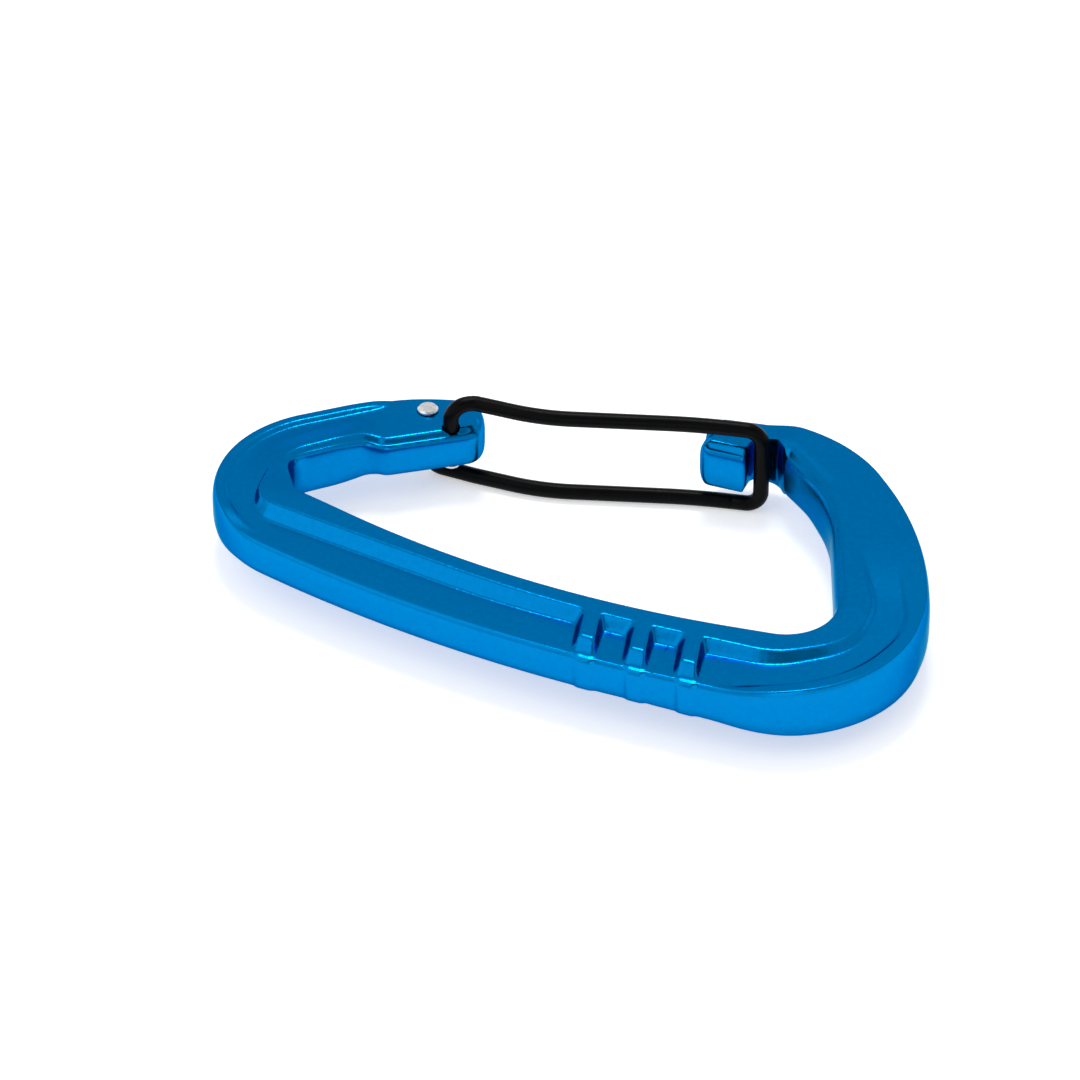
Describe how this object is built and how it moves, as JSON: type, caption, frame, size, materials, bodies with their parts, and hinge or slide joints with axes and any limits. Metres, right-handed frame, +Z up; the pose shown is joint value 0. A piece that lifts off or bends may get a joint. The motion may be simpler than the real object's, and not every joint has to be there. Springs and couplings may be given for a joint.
{
  "type": "wire-gate climbing carabiner",
  "caption": "D-shaped forged climbing carabiner with a sprung bent-wire gate that swings inward from the hinge end and closes into a notched nose.",
  "frame": {"origin": "middle of the overall bounding box in plan, at the height of the lowest point (underside of the lower gate leg), carabiner lying flat", "axes": "+X along the long axis from the narrow sling end to the wide rope end, +Y towards the gate side, +Z up, normal to the carabiner's plane"},
  "size_m": [0.1028, 0.0592, 0.0146],
  "materials": {
    "anodised_frame": "bright blue anodised forging",
    "black_wire": "satin black stainless wire",
    "bare_head": "bare hammered steel"
  },
  "bodies": {
    "frame": {"frame_forging": "anodised_frame"},
    "gate": {"gate_wire": "black_wire", "upper_end_head": "bare_head"},
    "gate_lower_end": {"gate_wire_lower_end": "black_wire", "lower_end_head": "bare_head"}
  },
  "joints": [
    {"name": "gate_hinge", "type": "hinge", "parent": "frame", "child": "gate", "pos_m": [-0.02453, 0.01385, 0.0073], "axis": [0, 0, -1], "range_deg": [0, 34], "stiffness_Nm_per_rad": 0.4, "springref_deg": -34.38},
    {"name": "lower_end_flex", "type": "slide", "parent": "gate", "child": "gate_lower_end", "axis": [-0.2013, -0.9795, 0], "range_m": [0, 0.00296]}
  ],
  "couplings": [
    {"joint": "lower_end_flex", "follows": "gate_hinge", "m_per_rad": 0.004939}
  ]
}
